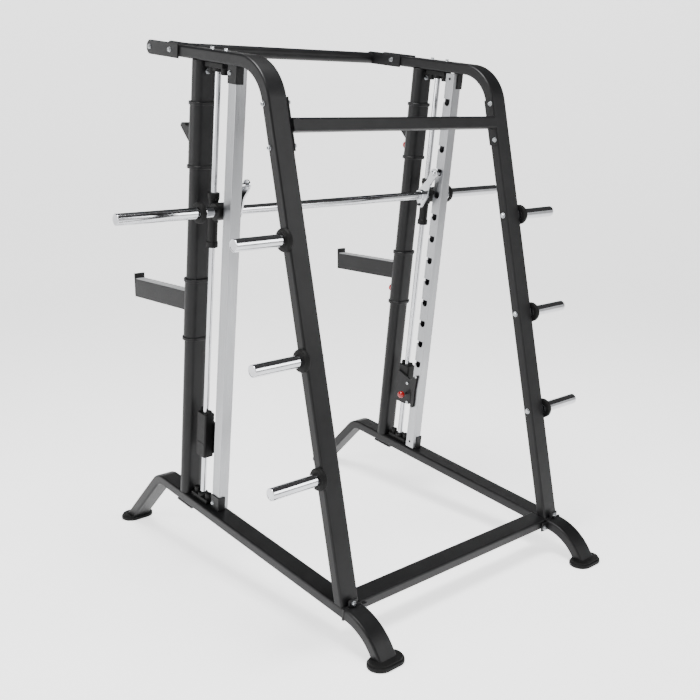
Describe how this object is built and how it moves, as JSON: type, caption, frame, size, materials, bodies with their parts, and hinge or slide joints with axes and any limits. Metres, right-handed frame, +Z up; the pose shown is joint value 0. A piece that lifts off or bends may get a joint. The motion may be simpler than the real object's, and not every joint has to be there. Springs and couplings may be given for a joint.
{
  "type": "smith machine",
  "caption": "Smith machine: a leaning steel frame with a barbell guided on rods, locking racks, spotter arms, bar rests, lower stops, plate pegs and a pull-up bar.",
  "frame": {"origin": "the middle of the machine's footprint, on the floor", "axes": "+Z up; +Y to the rear; +X to the right of someone who faces the front of the machine"},
  "size_m": [2.19, 1.923, 2.2833],
  "materials": {
    "frame_paint": "satin black powder coat",
    "moulded_black": "moulded, satin",
    "rubber": "moulded, matt",
    "hard_chrome": "polished",
    "polished_steel": "drawn and polished",
    "red_knob": "gloss",
    "grey_nylon": "satin"
  },
  "bodies": {
    "frame": {"base_rail_right": "frame_paint", "base_rail_left": "frame_paint", "rear_foot_right": "frame_paint", "rear_foot_left": "frame_paint", "foot_pad_front_right": "rubber", "foot_pad_front_left": "rubber", "foot_pad_rear_right": "rubber", "foot_pad_rear_left": "rubber", "side_hoop_right": "frame_paint", "side_hoop_left": "frame_paint", "post_right": "frame_paint", "post_left": "frame_paint", "front_plate_right": "frame_paint", "front_plate_left": "frame_paint", "rod_clamp_bottom_right": "moulded_black", "rod_clamp_bottom_left": "moulded_black", "rod_clamp_top_right": "moulded_black", "rod_clamp_top_left": "moulded_black", "guide_rod_right": "hard_chrome", "guide_rod_left": "hard_chrome", "rack_right": "polished_steel", "rack_left": "polished_steel", "rack_bracket_bottom_right": "frame_paint", "rack_bracket_bottom_left": "frame_paint", "rack_bracket_top_right": "frame_paint", "rack_bracket_top_left": "frame_paint", "weight_peg_lower_right": "hard_chrome", "weight_peg_lower_left": "hard_chrome", "weight_peg_middle_right": "hard_chrome", "weight_peg_middle_left": "hard_chrome", "weight_peg_upper_right": "hard_chrome", "weight_peg_upper_left": "hard_chrome", "rear_base_tube": "frame_paint", "rear_brace": "frame_paint", "pull_up_bar": "frame_paint"},
    "bar_carriage": {"carriage_right": "moulded_black", "carriage_left": "moulded_black"},
    "barbell": {"bar_shaft": "hard_chrome", "bar_sleeve_right": "hard_chrome", "bar_sleeve_left": "hard_chrome", "bar_collar_right": "moulded_black", "bar_collar_left": "moulded_black", "hook_right": "hard_chrome", "hook_left": "hard_chrome"},
    "stop_right": {"stop_body_right": "moulded_black"},
    "latch_right": {"stop_latch_right": "frame_paint"},
    "stop_plunger_right": {"stop_knob_right": "red_knob"},
    "spotter_right": {"spotter_arm_right": "frame_paint", "arm_liner_right": "grey_nylon"},
    "spotter_plunger_right": {"spotter_pin_right": "red_knob"},
    "bar_rest_right": {"jhook_right": "frame_paint"},
    "bar_rest_plunger_right": {"jhook_pin_right": "red_knob"},
    "stop_left": {"stop_body_left": "moulded_black"},
    "latch_left": {"stop_latch_left": "frame_paint"},
    "stop_plunger_left": {"stop_knob_left": "red_knob"},
    "spotter_left": {"spotter_arm_left": "frame_paint", "arm_liner_left": "grey_nylon"},
    "spotter_plunger_left": {"spotter_pin_left": "red_knob"},
    "bar_rest_left": {"jhook_left": "frame_paint"},
    "bar_rest_plunger_left": {"jhook_pin_left": "red_knob"}
  },
  "joints": [
    {"name": "bar_lift", "type": "slide", "parent": "frame", "child": "bar_carriage", "axis": [0, 0.1219, 0.9925], "range_m": [-0.5445, 0.3267]},
    {"name": "bar_turn", "type": "hinge", "parent": "bar_carriage", "child": "barbell", "pos_m": [0, -0.08599, 1.59762], "axis": [1, 0, 0], "range_deg": [0, 55]},
    {"name": "stop_slide_right", "type": "slide", "parent": "frame", "child": "stop_right", "axis": [0, 0.1219, 0.9925], "range_m": [-0.109, 0.109]},
    {"name": "latch_pivot_right", "type": "hinge", "parent": "stop_right", "child": "latch_right", "pos_m": [0.578, -0.18732, 0.62471], "axis": [1, 0, 0], "range_deg": [0, 15], "stiffness_Nm_per_rad": 0.5, "springref_deg": -20.05},
    {"name": "stop_knob_pull_right", "type": "slide", "parent": "stop_right", "child": "stop_plunger_right", "axis": [-1, 0, 0], "range_m": [0, 0.012], "stiffness_N_per_m": 400, "springref_m": -0.005},
    {"name": "spotter_slide_right", "type": "slide", "parent": "frame", "child": "spotter_right", "axis": [0, 0.1219, 0.9925], "range_m": [-0.436, 0.218]},
    {"name": "spotter_pin_pull_right", "type": "slide", "parent": "spotter_right", "child": "spotter_plunger_right", "axis": [0, -0.9925, 0.1219], "range_m": [0, 0.015], "stiffness_N_per_m": 400, "springref_m": -0.005},
    {"name": "bar_rest_slide_right", "type": "slide", "parent": "frame", "child": "bar_rest_right", "axis": [0, 0.1219, 0.9925], "range_m": [-0.218, 0.109]},
    {"name": "bar_rest_pin_pull_right", "type": "slide", "parent": "bar_rest_right", "child": "bar_rest_plunger_right", "axis": [0, -0.9925, 0.1219], "range_m": [0, 0.015], "stiffness_N_per_m": 400, "springref_m": -0.005},
    {"name": "stop_slide_left", "type": "slide", "parent": "frame", "child": "stop_left", "axis": [0, 0.1219, 0.9925], "range_m": [-0.109, 0.109]},
    {"name": "latch_pivot_left", "type": "hinge", "parent": "stop_left", "child": "latch_left", "pos_m": [-0.578, -0.18732, 0.62471], "axis": [1, 0, 0], "range_deg": [0, 15], "stiffness_Nm_per_rad": 0.5, "springref_deg": -20.05},
    {"name": "stop_knob_pull_left", "type": "slide", "parent": "stop_left", "child": "stop_plunger_left", "axis": [1, 0, 0], "range_m": [0, 0.012], "stiffness_N_per_m": 400, "springref_m": -0.005},
    {"name": "spotter_slide_left", "type": "slide", "parent": "frame", "child": "spotter_left", "axis": [0, 0.1219, 0.9925], "range_m": [-0.436, 0.218]},
    {"name": "spotter_pin_pull_left", "type": "slide", "parent": "spotter_left", "child": "spotter_plunger_left", "axis": [0, -0.9925, 0.1219], "range_m": [0, 0.015], "stiffness_N_per_m": 400, "springref_m": -0.005},
    {"name": "bar_rest_slide_left", "type": "slide", "parent": "frame", "child": "bar_rest_left", "axis": [0, 0.1219, 0.9925], "range_m": [-0.218, 0.109]},
    {"name": "bar_rest_pin_pull_left", "type": "slide", "parent": "bar_rest_left", "child": "bar_rest_plunger_left", "axis": [0, -0.9925, 0.1219], "range_m": [0, 0.015], "stiffness_N_per_m": 400, "springref_m": -0.005}
  ]
}
